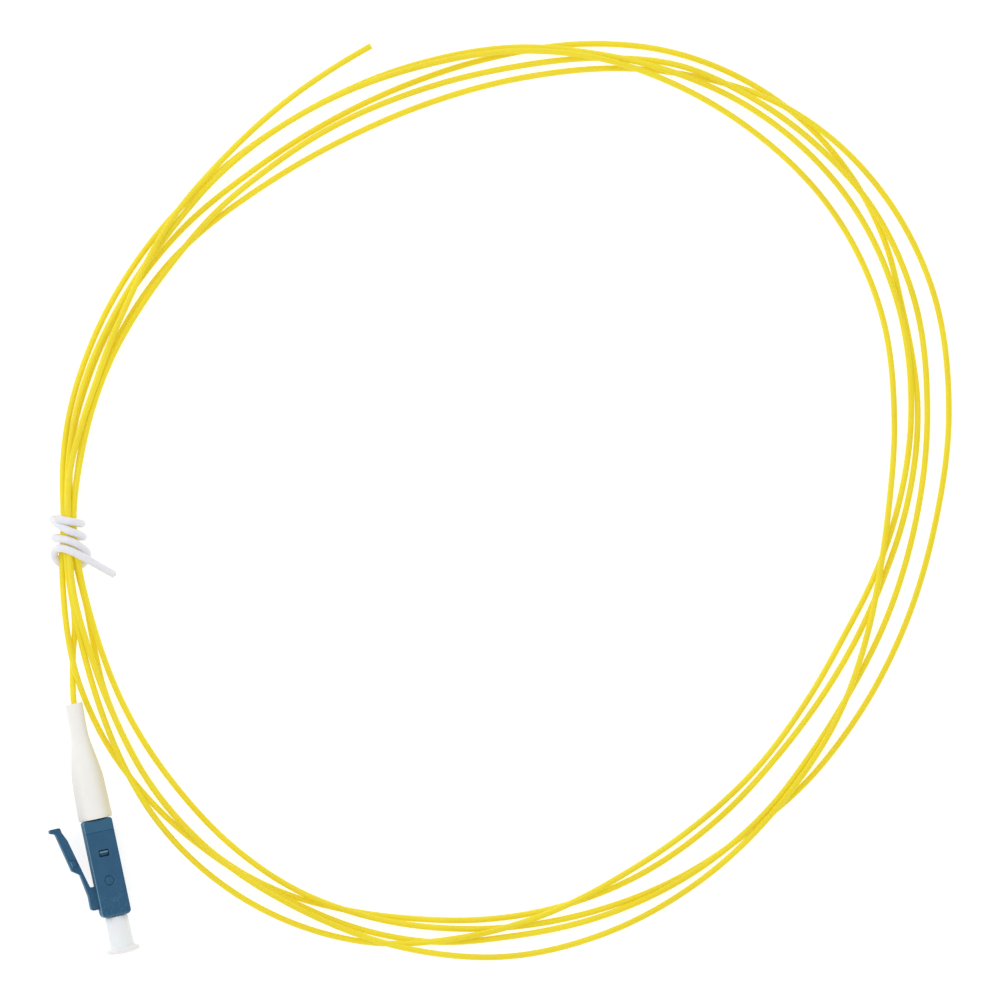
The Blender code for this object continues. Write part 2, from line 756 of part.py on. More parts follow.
def main():
    empty_scene()
    blue = make_material("blue_moulding", (0.045, 0.125, 0.215), 0.35)
    white = make_material("white_boot", (0.8, 0.79, 0.75), 0.5)
    frosted = make_material("frosted_cap", (0.83, 0.86, 0.88), 0.4)
    ceramic = make_material("ferrule_ceramic", (0.85, 0.85, 0.83), 0.2)
    nickel = make_material("nickel", (0.6, 0.58, 0.54), 0.3, 1.0)
    steel = make_material("spring_steel", (0.55, 0.55, 0.56), 0.35, 1.0)
    yellow = make_material("yellow_jacket", (0.85, 0.66, 0.05), 0.42)
    tie_white = make_material("tie_plastic", (0.78, 0.78, 0.85), 0.35)

    frame = bpy.data.objects.new("connector_frame", None)
    frame.location = (AXIS_X, AXIS_Y, AXIS_Z)
    frame.rotation_euler = (math.radians(90), CONNECTOR_ROLL, 0)
    bpy.context.scene.collection.objects.link(frame)

    front_housing(frame, blue)
    rear_body(frame, blue)
    boot(frame, white)
    ferrule(frame, ceramic)
    ferrule_flange(frame, nickel)
    spring(frame, steel)
    dust_cap(frame, frosted)

    fibre_coil(yellow)
    lead = smooth_route(lead_route(), FIBRE_POINT_SPACING)
    tube_object("fibre_lead", lead, FIBRE_DIAMETER, yellow)
    tail = smooth_route(tail_route(), FIBRE_POINT_SPACING)
    tube_object("fibre_tail", tail, FIBRE_DIAMETER, yellow)
    tie = smooth_route(tie_route(), TIE_POINT_SPACING)
    tube_object("twist_tie", tie, TIE_DIAMETER, tie_white)


main()
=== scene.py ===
"""The looks of a fibre optic pigtail: a blue push-pull connector on a loose hank of yellow buffered
fibre, held by a twist tie, photographed straight from above on a white table."""

import math

import bmesh
import bpy
from mathutils import Matrix, Vector


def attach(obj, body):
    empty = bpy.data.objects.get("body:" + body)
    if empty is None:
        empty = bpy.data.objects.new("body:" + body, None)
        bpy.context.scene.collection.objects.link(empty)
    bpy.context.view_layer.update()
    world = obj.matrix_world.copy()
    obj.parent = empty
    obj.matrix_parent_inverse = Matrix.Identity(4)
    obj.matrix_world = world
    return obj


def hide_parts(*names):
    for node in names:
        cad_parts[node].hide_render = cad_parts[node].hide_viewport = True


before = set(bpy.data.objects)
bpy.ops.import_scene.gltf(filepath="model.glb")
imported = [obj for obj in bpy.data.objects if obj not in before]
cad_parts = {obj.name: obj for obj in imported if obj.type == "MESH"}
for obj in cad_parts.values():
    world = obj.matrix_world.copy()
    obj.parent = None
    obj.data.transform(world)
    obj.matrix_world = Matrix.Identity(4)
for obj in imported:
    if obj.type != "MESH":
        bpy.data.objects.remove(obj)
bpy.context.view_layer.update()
MM = 0.001


# ---- camera: straight above, turned a little against the connector ----
PHOTO_WIDTH = 152.67 * MM
PHOTO_CENTRE = Vector((72.9, 36.51, 2.5)) * MM
PHOTO_TURN = math.radians(11.9)
CAMERA_HEIGHT = 1.5


def add_camera():
    data = bpy.data.cameras.new("camera")
    data.sensor_width = 36
    data.lens = data.sensor_width * CAMERA_HEIGHT / PHOTO_WIDTH
    data.clip_start = 0.05
    camera = bpy.data.objects.new("camera", data)
    above = PHOTO_CENTRE + Vector((0, 0, CAMERA_HEIGHT))
    camera.matrix_world = Matrix.Translation(above) @ Matrix.Rotation(-PHOTO_TURN, 4, "Z")
    bpy.context.collection.objects.link(camera)
    bpy.context.scene.camera = camera


# ---- finishes ----
class Field:
    """A number, colour or vector that varies over a surface, for use in plain sums and products."""

    def __init__(self, finish, socket):
        self.finish = finish
        self.socket = socket

    def maths(self, operation, *values):
        return self.finish.node("ShaderNodeMath", {"operation": operation}, dict(enumerate(values)))

    def __add__(self, other):
        return self.maths("ADD", self, other)

    def __sub__(self, other):
        return self.maths("SUBTRACT", self, other)

    def __rsub__(self, other):
        return self.maths("SUBTRACT", other, self)

    def __mul__(self, other):
        return self.maths("MULTIPLY", self, other)

    __radd__ = __add__
    __rmul__ = __mul__

    def size(self):
        """The number without its sign."""
        return self.maths("ABSOLUTE", self)

    def at_least(self, other):
        return self.maths("MAXIMUM", self, other)

    def rise(self, low, high):
        """0 below low, 1 above high, and a smooth rise between them."""
        settings = {"interpolation_type": "SMOOTHSTEP"}
        return self.finish.node("ShaderNodeMapRange", settings, {0: self, 1: low, 2: high})


class Finish:
    """One material: its shader's own numbers, and the nodes that vary it over a piece."""

    def __init__(self, name, **numbers):
        self.material = bpy.data.materials.new(name)
        self.material.use_nodes = True
        self.tree = self.material.node_tree
        self.shader = self.tree.nodes["Principled BSDF"]
        for socket, value in numbers.items():
            self.shader.inputs[socket.replace("_", " ")].default_value = value
        self.place = self.node("ShaderNodeTexCoord", {}, {}, "Object")

    def node(self, kind, settings, inputs, output=0):
        """A node of a kind, its settings made first, then its sockets' values or links."""
        made = self.tree.nodes.new(kind)
        for name, value in settings.items():
            setattr(made, name, value)
        for name, value in inputs.items():
            self.feed(made.inputs[name], value)
        return Field(self, made.outputs[output])

    def feed(self, socket, value):
        if isinstance(value, Field):
            self.tree.links.new(value.socket, socket)
        else:
            socket.default_value = value

    def grain(self, size, detail=3.0, stretch=(1, 1, 1)):
        """Noise with lumps about size metres across, longer along an axis that is stretched."""
        scale = [1 / (size * longer) for longer in stretch]
        spot = self.node("ShaderNodeMapping", {}, {"Vector": self.place, "Scale": scale}, "Vector")
        return self.node("ShaderNodeTexNoise", {}, {"Vector": spot, "Scale": 1.0, "Detail": detail})

    def along(self, axis):
        """The place along one of the piece's own axes, in metres."""
        return self.node("ShaderNodeSeparateXYZ", {}, {"Vector": self.place}, axis)

    def mixed(self, share, first, second):
        """From the first colour to the second as share goes from 0 to 1."""
        first, second = [c if isinstance(c, Field) else (*c, 1) for c in (first, second)]
        return self.node("ShaderNodeMix", {"data_type": "RGBA"}, {0: share, 6: first, 7: second}, 2)

    def facing(self, axis):
        """How far the surface looks along one of the piece's own axes: -1 to 1."""
        normal = self.node("ShaderNodeTexCoord", {}, {}, "Normal")
        return self.node("ShaderNodeSeparateXYZ", {}, {"Vector": normal}, axis)

    def edges(self):
        """0 on faces square to the piece's axes, up to 0.3 on the rounded edges between them."""
        along_x, along_y, along_z = [self.facing(axis).size() for axis in "XYZ"]
        return 1 - along_x.at_least(along_y).at_least(along_z)

    def latch_edges(self, reach):
        """Rises towards 1 within reach metres of a face that looks towards the latch."""
        rounded = self.node("ShaderNodeBevel", {"samples": 8}, {"Radius": reach})
        return self.node("ShaderNodeSeparateXYZ", {}, {"Vector": rounded}, "X") * -1

    def crevices(self, reach):
        """0 on open faces, rising towards 1 deep in gaps narrower than reach metres."""
        near = {"Distance": reach}
        return 1 - self.node("ShaderNodeAmbientOcclusion", {"samples": 8}, near, "AO")

    def wear(self, colour=None, roughness=None, relief=None, depth=0.0):
        """Feeds the shader: colour, roughness, and relief as bump of a depth in metres."""
        if colour is not None:
            self.feed(self.shader.inputs["Base Color"], colour)
        if roughness is not None:
            self.feed(self.shader.inputs["Roughness"], roughness)
        if relief is not None:
            bump = self.node("ShaderNodeBump", {}, {"Distance": depth, "Height": relief}, "Normal")
            self.feed(self.shader.inputs["Normal"], bump)
        return self.material


def yellow_jacket():
    """Smooth extruded jacket with a faint painted glow that lifts its shade, deeper in tone in
    places, with dark specks.
    """
    finish = Finish(
        "yellow_fibre_jacket",
        Specular_IOR_Level=0.4,
        Subsurface_Weight=0.6,
        Subsurface_Radius=(1.0, 0.7, 0.15),
        Subsurface_Scale=0.9 * MM,
        # The emission is a painted glow that lifts the jacket's shade and the dark lines between
        # strands
        Emission_Color=(0.85, 0.70, 0.016, 1),
        Emission_Strength=0.19,
    )
    slow = finish.grain(11 * MM, 2)
    drawn = finish.grain(0.5 * MM, 3)
    specks = finish.grain(0.16 * MM, 1).rise(0.74, 0.79)
    tone = finish.mixed(slow.rise(0.35, 0.7), (0.71, 0.61, 0.017), (0.675, 0.56, 0.0125))
    tone = finish.mixed(drawn.rise(0.45, 0.75) * 0.3, tone, (0.725, 0.64, 0.036))
    tone = finish.mixed(specks * 0.6, tone, (0.42, 0.29, 0.02))
    return finish.wear(tone, drawn * 0.16 + 0.4, drawn + slow * 0.5, 0.012 * MM)


BLUE_RELIEF = 0.008 * MM


def blue_finish(name):
    """Satin blue moulding, clouded and scuffed: its finish, tone, roughness and relief."""
    finish = Finish(name, Specular_IOR_Level=0.03)
    flow = finish.grain(0.55 * MM, 4, (1, 1, 4))
    cloud = finish.grain(2.2 * MM, 3)
    scuff = finish.grain(0.25 * MM, 5, (2.5, 1, 1)).rise(0.56, 0.72)
    tone = finish.mixed(cloud.rise(0.3, 0.7), (0.0355, 0.104, 0.193), (0.0405, 0.117, 0.212))
    tone = finish.mixed(flow.rise(0.5, 0.75) * 0.3, tone, (0.048, 0.130, 0.225))
    tone = finish.mixed(scuff * 0.15, tone, (0.08, 0.18, 0.28))
    return finish, tone, flow * 0.18 + scuff * 0.12 + 0.45, flow + scuff * 0.3


def blue_painted_highlights_and_shade(finish, tone):
    """Painted highlights on the edges and faces that look towards the latch, and painted shade in
    grooves.
    """
    painted_latch_side_highlight = finish.latch_edges(0.3 * MM).rise(0.08, 0.7)
    painted_edge_highlight = finish.edges().rise(0.02, 0.14) * (finish.facing("X") * -1).rise(0.05, 0.4)
    painted_groove_shade = finish.crevices(0.35 * MM).rise(0.05, 0.7)
    # Painted highlight near faces that look towards the latch
    tone = finish.mixed(painted_latch_side_highlight * 0.55, tone, (0.085, 0.22, 0.33))
    # Painted highlight on the rounded edges that look towards the latch
    tone = finish.mixed(painted_edge_highlight * 0.9, tone, (0.145, 0.31, 0.43))
    # Painted shade in grooves and other recesses
    return finish.mixed(painted_groove_shade * 0.5, tone, (0.012, 0.045, 0.09))


def blue_housing():
    """The housing's moulding: swirls towards its nose, with a painted highlight on its rounded end.
    """
    finish, tone, roughness, relief = blue_finish("blue_housing_moulding")
    height = finish.along("Z")
    swirl = 1 - (finish.grain(0.9 * MM, 1) - 0.5).size().rise(0.008, 0.03)
    front = height.rise(10.0 * MM, 12.0 * MM)
    nose_end_highlight = height.rise(14.5 * MM, 14.75 * MM)
    tone = finish.mixed(swirl * front * 0.5, tone, (0.06, 0.17, 0.255))
    # Painted highlight on the nose's rounded end
    tone = finish.mixed(nose_end_highlight * 0.6, tone, (0.085, 0.19, 0.28))
    return finish.wear(blue_painted_highlights_and_shade(finish, tone), roughness, relief, BLUE_RELIEF)


def blue_collar():
    """The collar's moulding, lighter than the housing, with a painted highlight on the ridge of its
    snap lugs.
    """
    finish, tone, roughness, relief = blue_finish("blue_collar_moulding")
    height = finish.along("Z")
    ridge = height.rise(4.86 * MM, 4.92 * MM) * (1 - height.rise(5.12 * MM, 5.2 * MM))
    tone = finish.mixed(0.25, tone, (0.065, 0.19, 0.28))
    # Painted highlight on the ridge of the snap lugs
    tone = finish.mixed(ridge * 0.7, tone, (0.20, 0.33, 0.44))
    return finish.wear(blue_painted_highlights_and_shade(finish, tone), roughness, relief, BLUE_RELIEF)


def boot_plastic():
    """Soft white plastic, matt, with painted shade on its side towards the latch and a painted
    yellow reflection of the fibre on the other side.
    """
    finish = Finish("white_boot_plastic", Specular_IOR_Level=0.3)
    mottle = finish.grain(0.7 * MM, 4, (1, 1, 2))
    skin = finish.grain(0.12 * MM, 2)
    across = finish.along("X")
    latch_side_shade = 1 - across.rise(-2.5 * MM, -1.1 * MM)
    far_side_yellow_reflection = across.rise(0.3 * MM, 2.6 * MM)
    tone = finish.mixed(mottle.rise(0.35, 0.75), (0.90, 0.885, 0.84), (0.92, 0.905, 0.865))
    # Painted shade on the side towards the latch
    tone = finish.mixed(latch_side_shade * 0.9, tone, (0.79, 0.78, 0.745))
    # Painted yellow reflection of the fibre on the far side
    tone = finish.mixed(far_side_yellow_reflection * 0.85, tone, (0.76, 0.705, 0.515))
    return finish.wear(tone, mottle * 0.15 + 0.4, skin * 0.5 + mottle, 0.01 * MM)


def frosted_plastic():
    """Milky, translucent moulding of the dust cap."""
    finish = Finish(
        "frosted_cap_plastic",
        Specular_IOR_Level=0.35,
        Transmission_Weight=0.05,
        Subsurface_Weight=0.4,
        Subsurface_Scale=0.6 * MM,
    )
    haze = finish.grain(0.6 * MM, 4, (1, 1, 2))
    skin = finish.grain(0.1 * MM, 2)
    tone = finish.mixed(haze.rise(0.35, 0.7), (0.895, 0.95, 0.985), (0.915, 0.965, 0.995))
    return finish.wear(tone, haze * 0.2 + 0.32, skin * 0.4 + haze, 0.008 * MM)


def tie_plastic():
    """White sheath over the tie's wire, with small dents where it was twisted."""
    finish = Finish("white_tie_sheath", Specular_IOR_Level=0.4)
    dents = finish.grain(0.8 * MM, 3)
    smear = finish.grain(0.3 * MM, 4)
    tone = finish.mixed(dents.rise(0.4, 0.7), (0.83, 0.83, 0.89), (0.865, 0.865, 0.92))
    return finish.wear(tone, smear * 0.2 + 0.3, dents + smear * 0.3, 0.03 * MM)


def bare_metal(name, dark, light, size, stretch, roughness):
    """Plated or drawn metal with fine marks, longer along an axis that is stretched."""
    finish = Finish(name, Metallic=1.0)
    marks = finish.grain(size, 4, stretch)
    tone = finish.mixed(marks.rise(0.35, 0.7), dark, light)
    return finish.wear(tone, marks * 0.2 + roughness, marks, 0.003 * MM)


def drawn_steel():
    """Bare wire, of the spring and inside the tie."""
    dark, light = (0.46, 0.46, 0.48), (0.6, 0.6, 0.61)
    return bare_metal("drawn_steel_wire", dark, light, 0.1 * MM, (3, 3, 1), 0.28)


def turned_nickel():
    """Nickel plate over fine turning marks."""
    dark, light = (0.50, 0.48, 0.44), (0.64, 0.62, 0.57)
    return bare_metal("turned_nickel", dark, light, 0.2 * MM, (6, 1, 6), 0.22)


def ferrule_ceramic():
    """Polished white ceramic, with faint grinding rings round it."""
    finish = Finish("polished_ceramic", IOR=2.1)
    rings = finish.grain(0.15 * MM, 3, (8, 1, 8))
    tone = finish.mixed(rings.rise(0.4, 0.7), (0.80, 0.80, 0.78), (0.86, 0.86, 0.85))
    return finish.wear(tone, rings * 0.12 + 0.12, rings, 0.002 * MM)


def floor_white():
    """A white table that glows a little, so that shadows on it stay faint."""
    finish = Finish(
        "white_table",
        Roughness=0.8,
        Emission_Color=(1, 1, 1, 1),
        Emission_Strength=0.76,
    )
    mottle = finish.grain(20 * MM, 3)
    tone = finish.mixed(mottle, (0.39, 0.39, 0.39), (0.41, 0.41, 0.41))
    return finish.wear(tone)


# ---- curves ----
def smooth_table(rows):
    """A smooth curve through (place, number) rows whose places rise: a function of the place."""
    places = [row[0] for row in rows]
    numbers = [row[1] for row in rows]
    steps = [b - a for a, b in zip(places, places[1:])]
    rates = [(b - a) / step for a, b, step in zip(numbers, numbers[1:], steps)]
    slopes = [rates[0]]
    for k in range(1, len(rates)):
        whole = steps[k - 1] + steps[k]
        slopes.append((rates[k - 1] * steps[k] + rates[k] * steps[k - 1]) / whole)
    slopes.append(rates[-1])

    def at(place):
        k = 0
        while k < len(steps) - 1 and places[k + 1] <= place:
            k += 1
        t = (place - places[k]) / steps[k]
        return (
            numbers[k] * (2 * t**3 - 3 * t**2 + 1)
            + slopes[k] * steps[k] * (t**3 - 2 * t**2 + t)
            + numbers[k + 1] * (3 * t**2 - 2 * t**3)
            + slopes[k + 1] * steps[k] * (t**3 - t**2)
        )

    return at


def even_route(points, spacing):
    """Points at even spacing on a smooth curve through the given points."""
    reach = [0.0]
    for a, b in zip(points, points[1:]):
        reach.append(reach[-1] + (b - a).length)
    axes = [smooth_table([(s, point[k]) for s, point in zip(reach, points)]) for k in range(3)]
    count = round(reach[-1] / spacing)
    return [Vector([at(reach[-1] * k / count) for at in axes]) for k in range(count + 1)]


def longer_by(route, reach):
    """The same route, carried on straight by a little at both its ends."""
    start = route[0] + (route[0] - route[1]).normalized() * reach
    end = route[-1] + (route[-1] - route[-2]).normalized() * reach
    return [start, *route[1:-1], end]


def tube(name, route, diameter, material, roundness, thickness=None):
    """A round wire along a route, with closed ends, as one open curve."""
    curve = bpy.data.curves.new(name, "CURVE")
    curve.dimensions = "3D"
    curve.bevel_depth = diameter / 2
    curve.bevel_resolution = roundness
    curve.use_fill_caps = True
    spline = curve.splines.new("POLY")
    spline.points.add(len(route) - 1)
    for k, (target, point) in enumerate(zip(spline.points, route)):
        target.co = (*point, 1)
        target.radius = thickness(k / (len(route) - 1)) if thickness else 1.0
    spline.use_smooth = True
    curve.materials.append(material)
    made = bpy.data.objects.new(name, curve)
    bpy.context.collection.objects.link(made)
    return made


# ---- where the connector lies ----
# Its own frame: z from the collar's rear end to the nose, y up, x away from the latch
AXIS = Vector((2.4647, 1.5, 2.6)) * MM
ROLL = math.radians(7.5)
NOSE_ONWARD = Matrix.Rotation(math.pi / 2, 4, "X")
CONNECTOR = Matrix.Translation(AXIS) @ Matrix.Rotation(ROLL, 4, "Y") @ NOSE_ONWARD

# The boot leans a little off the connector's axis, more and more towards its tip
BOOT_GAP = 0.1
BOOT_TIP = 18.0
BOOT_LEAN = 0.35
BOOT_LEAN_LENGTH = 17.75


def boot_lean(back):
    """How far off the axis the boot's middle lies, in metres, back mm behind the collar."""
    return BOOT_LEAN * MM * ((back - BOOT_GAP) / BOOT_LEAN_LENGTH) ** 2


def boot_middle(back):
    """The middle of the boot in the part's own frame, back mm behind the collar."""
    return CONNECTOR @ Vector((boot_lean(back), 0, -back * MM))


# ---- the fibre's route, in millimetres and degrees ----
FIBRE = 0.92
COIL_CENTRE = Vector((73.9647, 36.5, 0))
ROUTE_STEP = 2.5
STEPS_A_TURN = round(360 / ROUTE_STEP)
START_INSIDE_BOOT = (14.9, 15.9, 16.9, 17.9)
BOOT_TIP_HEIGHT = 2.55

# The tie: its place round the coil, half the angle it covers, and how far its wire lifts the fibre
TIE_ANGLE = 174.0
TIE_HALF_SPAN = 5.0
TIE_UNDER = 1.24

# How much the fibre sags at each step, free or pulled down by the tie, and the steps to settle it
SAG = 0.0015
TIE_PULL = 0.5
SETTLE_ROUNDS = 400

# Where the fibre runs from the boot to its bare end, turn by turn: degrees round the coil's centre,
# and millimetres from it
TURNS = (
    (
        (192.5, 72.7), (190.8, 71.86), (189.4, 71.15), (188.2, 70.55), (187, 69.97), (185, 68.97),
        (183.5, 68.49), (180, 67.96), (177, 67.5), (174, 67.1), (170, 66.72), (167, 66.76),
        (164, 66.92), (160, 67.0), (157, 66.88), (154, 66.67), (151, 66.45), (148, 66.25),
        (145, 66.05), (141.5, 65.8), (138, 65.42), (128, 64.47), (116, 63.42), (105, 63.61),
        (90, 65.37), (78.5, 67.83), (68, 70.63), (58, 72.74), (49, 73.56), (40, 73.35), (30, 71.88),
        (22, 69.8), (15, 67.45), (0, 64.2), (-15, 60.69), (-23, 59.0), (-35, 57.45), (-45, 56.88),
        (-55, 57.07), (-68, 58.6), (-85, 61.41), (-98, 63.42), (-105, 64.43), (-114, 65.71),
        (-124, 67.67), (-132, 69.37), (-139, 70.23), (-150, 70.13), (-160, 68.96),
    ),
    (
        (193, 68.05), (188, 67.05), (184.5, 66.52), (182, 66.28), (180, 66.35), (177.5, 66.48),
        (174, 66.4), (170, 66.18), (166, 65.79), (162, 65.5), (155, 65.0), (148, 64.52),
        (140, 63.7), (133, 62.89), (126, 61.87), (118, 60.76), (108, 60.21), (100, 60.41),
        (90, 61.51), (75, 64.62), (62, 68.39), (53, 70.93), (44, 73.21), (36, 74.1), (28, 74.08),
        (15, 72.61), (0, 69.06), (-15, 65.64), (-30, 63.83), (-45, 63.08), (-55, 63.02),
        (-65, 62.9), (-75, 63.5), (-90, 64.48), (-105, 65.83), (-120, 67.26), (-130, 67.9),
        (-140, 67.68), (-150, 67.08), (-163, 66.57),
    ),
    (
        (187, 66.11), (184, 66.05), (180, 66.1), (174, 66.2), (170, 66.12), (167.5, 65.88),
        (164, 65.48), (155, 64.66), (148, 63.99), (140, 63.09), (131, 62.44), (124, 62.36),
        (114, 62.19), (105, 62.61), (90, 63.84), (77, 66.0), (66, 68.83), (56, 71.26), (48, 71.71),
        (36, 71.79), (28, 71.51), (15, 69.48), (0, 65.68), (-15, 62.61), (-30, 60.82), (-43, 60.18),
        (-52, 60.69), (-63, 62.22), (-75, 63.79), (-90, 65.54), (-102, 66.99), (-111, 68.63),
        (-120, 69.45), (-132, 69.86), (-142, 70.66), (-152, 71.45), (-163, 71.6),
    ),
    (
        (190, 70.95), (184, 69.95), (178, 68.92), (176, 68.66), (173.5, 68.15), (170.5, 67.78),
        (168, 67.83), (164, 68.0), (159, 68.1), (148, 67.75), (135, 67.17), (122, 66.67),
        (108, 66.57), (90, 67.76), (75, 69.04), (68, 69.21), (58, 69.82), (47, 70.32), (38, 70.13),
        (30, 69.49), (15, 66.84), (0, 63.14), (-15, 59.35), (-24, 57.37), (-34, 55.67),
        (-45, 55.29), (-60, 56.28), (-75, 58.15), (-85, 60.23), (-92, 62.3), (-100, 64.86),
        (-110, 68.12), (-118, 70.68), (-127, 72.39), (-138, 73.21), (-150, 72.51), (-157, 71.31),
        (-164, 69.97),
    ),
    (
        (188, 68.73), (181, 68.11), (177, 67.95), (173.5, 67.6), (170, 67.25), (166, 67.15),
        (162, 67.16), (158, 67.12), (154, 66.98), (150, 66.75), (146, 66.42), (140, 66.01),
        (130, 65.66), (120, 66.15), (105, 66.61), (90, 67.25), (75, 68.47), (66, 68.67),
        (56, 68.24), (45, 67.59), (30, 66.41), (15, 63.96), (0, 60.5), (-13, 58.39), (-22, 58.07),
        (-32, 58.79), (-45, 60.52), (-60, 62.58), (-75, 65.41), (-90, 68.21), (-102, 69.93),
        (-113, 70.33), (-128, 70.2), (-142, 70.3), (-154, 69.65), (-164, 68.46),
    ),
    (
        (188, 67.81), (180, 67.62), (177, 67.42), (173, 67.05), (170, 66.92), (167, 66.93),
        (164, 66.72), (161, 66.25), (158, 65.84), (156, 65.57), (153, 65.22), (150, 65.1),
        (146, 65.08), (142, 65.1), (138, 65.4), (128, 66.61), (118, 67.58), (108, 69.24),
        (98, 71.35), (94.8, 72.17),
    ),
)  # fmt: skip


def route_radii():
    """How far the fibre has turned, in degrees, and its distance from the coil's centre there."""
    rows = []
    for turn, points in enumerate(TURNS):
        for angle, radius in points:
            rows.append((360 * turn + TURNS[0][0][0] - angle, radius))
    at = smooth_table(rows)
    end = rows[-1][0]
    turned = [ROUTE_STEP * k for k in range(int(end / ROUTE_STEP) + 1)] + [end]
    return turned, [at(place) for place in turned]


def stacked_heights(turned, radii):
    """How high the fibre lies, in mm: on the table, the tie or its earlier turns, in low humps."""
    rest = []
    sags = []
    for place in turned:
        tied = abs((TURNS[0][0][0] - place) % 360 - TIE_ANGLE) < TIE_HALF_SPAN
        rest.append(FIBRE / 2 + (TIE_UNDER if tied else 0.0))
        sags.append(TIE_PULL if tied else SAG)
    rest[0] = BOOT_TIP_HEIGHT
    heights = []
    for start in range(0, len(turned), STEPS_A_TURN):
        end = min(start + STEPS_A_TURN, len(turned))
        for i in range(start, end):
            for j in range(i - STEPS_A_TURN, -1, -STEPS_A_TURN):
                apart = abs(radii[i] - radii[j])
                if apart < FIBRE:
                    rest[i] = max(rest[i], heights[j] + math.sqrt(FIBRE**2 - apart**2))
        heights += settled(rest[start:end], sags[start:end], heights[-1] if heights else rest[0])
    return heights


def settled(rest, sags, before):
    """A springy line drawn taut over what it rests on, sagging where it is free or tied down."""
    line = list(rest)
    for _ in range(SETTLE_ROUNDS):
        ahead = line[1:] + line[-1:]
        behind = [before] + line[:-1]
        line = [max(low, (a + b) / 2 - sag) for low, sag, a, b in zip(rest, sags, ahead, behind)]
    return line


def fibre_route():
    """The fibre's centreline in metres, from inside the boot to its bare end."""
    turned, radii = route_radii()
    heights = stacked_heights(turned, radii)
    radius_at = smooth_table(list(zip(turned, radii)))
    height_at = smooth_table(list(zip(turned, heights)))
    route = [tuple(boot_middle(back)) for back in START_INSIDE_BOOT]
    halves = 2 * (len(turned) - 1)
    for k in range(halves + 1):
        place = min(ROUTE_STEP / 2 * k, turned[-1])
        angle = math.radians(TURNS[0][0][0] - place)
        out = radius_at(place)
        x = COIL_CENTRE.x + out * math.cos(angle)
        y = COIL_CENTRE.y + out * math.sin(angle)
        route.append((x * MM, y * MM, height_at(place) * MM))
    return route


# ---- the twist tie, in millimetres ----
TIE_SHEATH = 1.2
TIE_CORE = 0.46
TIE_CORE_OUT = 0.12
TIE_POINT_SPACING = 0.28

# The share of its length where the sheath begins to thin, and the share of its thickness that goes
TIE_TAPER_START = 0.88
TIE_TAPER = 0.08

# How far the middle of the bundle lies from the coil's centre
TIE_MIDDLE = 67.1

# Distance along the bundle towards the boot from the tie's middle, distance outwards from the
# bundle's middle, and height above the table
TIE_ROUTE = (
    (-4.02, 1.6, 4.6), (-3.67, 0.6, 4.85), (-3.39, -0.57, 4.65), (-3.12, -1.6, 3.6),
    (-2.98, -2.08, 2.3), (-3.0, -1.95, 1.35), (-3.1, -1.25, 0.66), (-3.3, 0.0, 0.61),
    (-3.6, 1.3, 0.66), (-3.85, 2.05, 1.3), (-3.88, 2.28, 2.1), (-3.6, 2.08, 2.85),
    (-2.9, 1.2, 4.1), (-2.12, 0.02, 4.8), (-1.55, -1.13, 4.2), (-1.05, -1.95, 3.0),
    (-0.88, -2.15, 2.1), (-0.9, -1.95, 1.3), (-0.95, -1.25, 0.66), (-1.0, 0.0, 0.61),
    (-1.05, 1.3, 0.66), (-1.12, 2.0, 1.3), (-1.12, 2.2, 2.1), (-1.02, 1.95, 2.9),
    (-0.85, 1.0, 4.05), (-0.6, 0.14, 4.5), (-0.15, -0.7, 4.3), (0.73, -1.77, 3.4),
    (1.52, -2.42, 2.5), (1.95, -2.5, 1.8), (2.55, -2.25, 1.15), (3.3, -1.6, 0.7),
    (3.62, -0.5, 0.61), (3.5, 0.6, 0.61), (3.05, 1.55, 0.8), (2.45, 2.15, 1.25),
    (1.83, 2.47, 1.8), (1.16, 2.5, 2.4), (0.6, 2.05, 3.05), (0.52, 1.28, 3.95), (0.85, 0.3, 4.4),
    (1.4, -0.64, 4.4), (1.95, -1.4, 4.2), (3.05, -2.82, 3.65), (4.38, -4.36, 3.0),
    (5.96, -6.12, 2.6),
)  # fmt: skip


def tie_route():
    """The tie's centreline in metres, from its cut start to the end of its tail."""
    points = []
    for along, outward, height in TIE_ROUTE:
        place = math.radians(TIE_ANGLE + math.degrees(along / TIE_MIDDLE))
        out = TIE_MIDDLE + outward
        points.append(COIL_CENTRE + Vector((out * math.cos(place), out * math.sin(place), height)))
    return [point * MM for point in even_route(points, TIE_POINT_SPACING)]


def tie_taper(share):
    """The sheath's thickness along it: a little thinner towards the end of its tail."""
    return 1.0 - TIE_TAPER * max(0.0, (share - TIE_TAPER_START) / (1 - TIE_TAPER_START))


# ---- shapes of the connector, in millimetres ----
HALF = 2.26
BODY_CORNER = 0.2
COLLAR = 1.87
SEAM = 1.9
NOSE = 15.0
NOSE_ROUND = 0.7
COLLAR_ROUND = 0.4
HOUSING_EDGE = 0.06
COLLAR_EDGE = 0.05

# Most of a side that the arc at its corner may take
ARC_SHARE = 0.45

# After the cuts, points nearer than WELD (in metres) are joined, and so are faces flatter than
# FLAT_ANGLE. Edges sharper than EDGE_ANGLE are rounded
WELD = 2e-6
FLAT_ANGLE = math.radians(0.6)
EDGE_ANGLE = math.radians(38)


